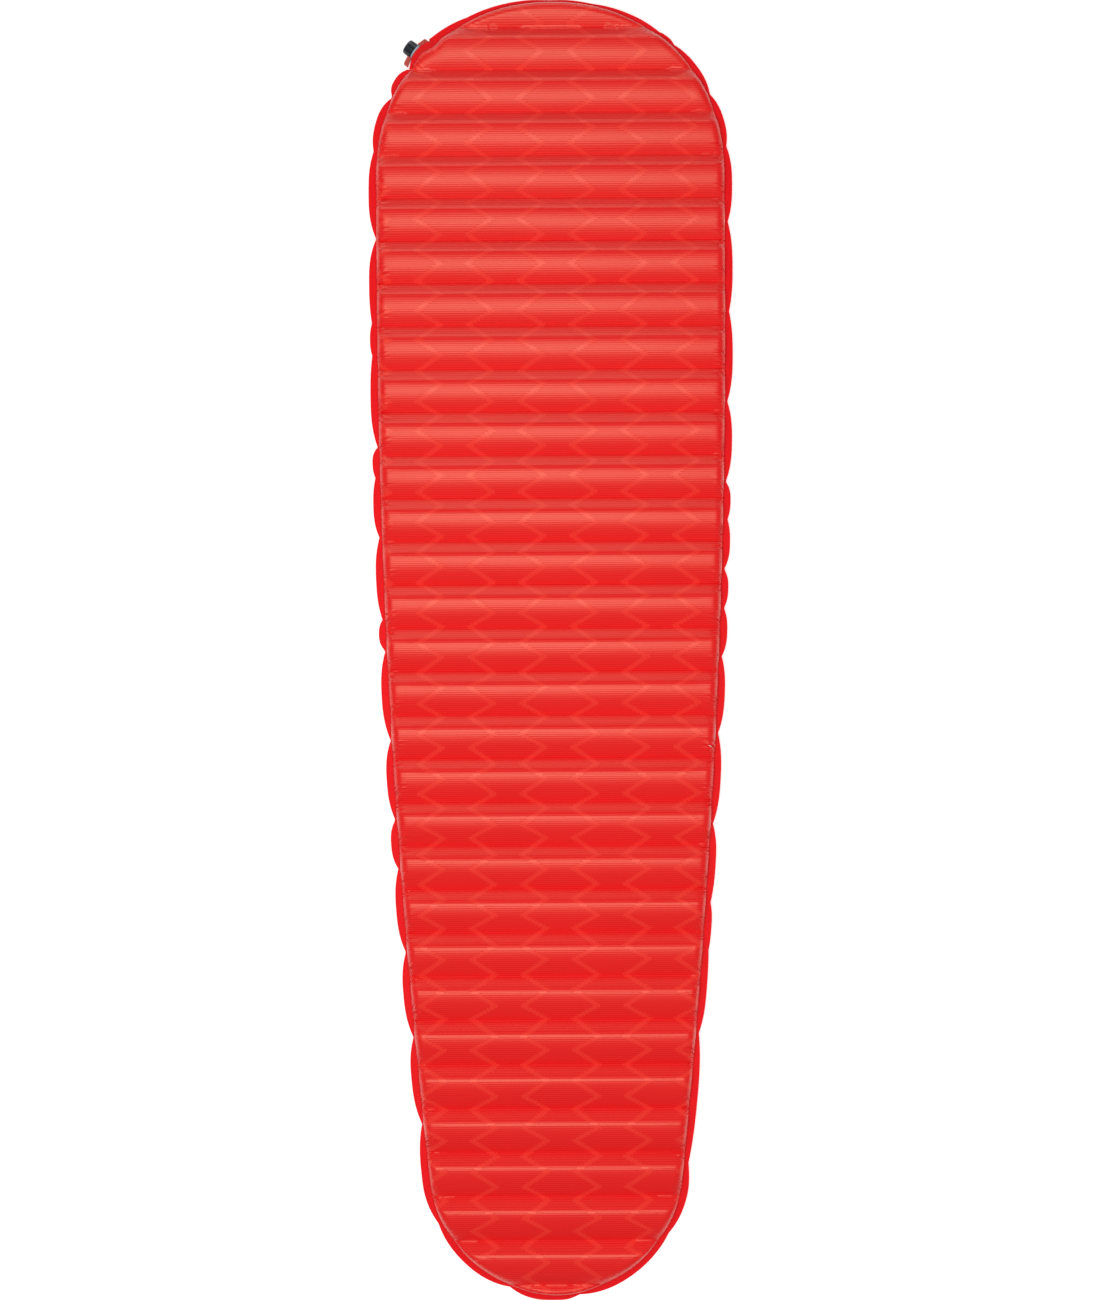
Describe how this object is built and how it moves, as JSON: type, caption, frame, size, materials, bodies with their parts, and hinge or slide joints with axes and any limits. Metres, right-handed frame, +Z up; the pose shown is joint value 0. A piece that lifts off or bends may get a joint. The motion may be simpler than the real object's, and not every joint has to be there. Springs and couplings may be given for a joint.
{
  "type": "inflatable sleeping pad",
  "caption": "Tapered self-inflating camping mattress with rounded ends, transverse ridges, welded scalloped edge, foam core and a winged one-way valve at the head.",
  "frame": {"origin": "middle of the pad's footprint, on the ground it lies on", "axes": "+Y along the pad to the head end, +X to the right seen from above with the head up, +Z up through its thickness"},
  "size_m": [0.51, 1.83, 0.05],
  "materials": {
    "top_fabric": "ribbed laminated polyester with a soft sheen, tone-on-tone zigzag lines",
    "base_fabric": "plain laminated polyester, satin",
    "foam": "open-cell polyurethane foam, matt",
    "weld_plastic": "weldable polyurethane, satin",
    "stem_plastic": "moulded nylon, semi-gloss",
    "wing_plastic": "moulded nylon, satin, ribbed grips",
    "cap_plastic": "moulded nylon, semi-gloss, ribbed grip",
    "inner_plastic": "moulded acetal, satin",
    "seal_rubber": "nitrile rubber, satin",
    "silicone": "clear silicone rubber, satin",
    "pin_steel": "turned stainless steel"
  },
  "bodies": {
    "pad": {"top_skin": "top_fabric", "bottom_skin": "base_fabric", "foam_core": "foam", "valve_base": "weld_plastic"},
    "valve_core": {"valve_stem": "stem_plastic", "outer_o_ring": "seal_rubber", "inner_o_ring": "seal_rubber", "retaining_ring": "pin_steel", "wing_collar": "wing_plastic", "filter_screen": "inner_plastic", "mouth_plug": "inner_plastic", "mouth_o_ring": "seal_rubber"},
    "plunger_set": {"plunger": "inner_plastic", "cam_pin": "pin_steel", "disc_keeper": "inner_plastic"},
    "flap": {"check_disc": "silicone"},
    "gasket": {"cap_gasket": "seal_rubber"},
    "cap": {"valve_cap": "cap_plastic"}
  },
  "joints": [
    {"name": "wing_turn", "type": "hinge", "parent": "pad", "child": "valve_core", "pos_m": [-0.18815, 0.8416, 0.025], "axis": [-0.7934, 0.6088, 0], "range_deg": [0, 90]},
    {"name": "plunger_slide", "type": "slide", "parent": "valve_core", "child": "plunger_set", "axis": [0.7934, -0.6088, 0], "range_m": [0, 0.0025]},
    {"name": "flap_lift", "type": "slide", "parent": "plunger_set", "child": "flap", "axis": [0.7934, -0.6088, 0], "range_m": [0, 0.0018], "stiffness_N_per_m": 8},
    {"name": "cap_rise", "type": "slide", "parent": "valve_core", "child": "gasket", "axis": [-0.7934, 0.6088, 0], "range_m": [0, 0.0035]},
    {"name": "cap_turn", "type": "hinge", "parent": "gasket", "child": "cap", "pos_m": [-0.19608, 0.84769, 0.025], "axis": [-0.7934, 0.6088, 0], "range_deg": [0, 150]}
  ],
  "couplings": [
    {"joint": "plunger_slide", "follows": "wing_turn", "m_per_rad": 0.0015915},
    {"joint": "cap_rise", "follows": "cap_turn", "m_per_rad": 0.0013369}
  ]
}
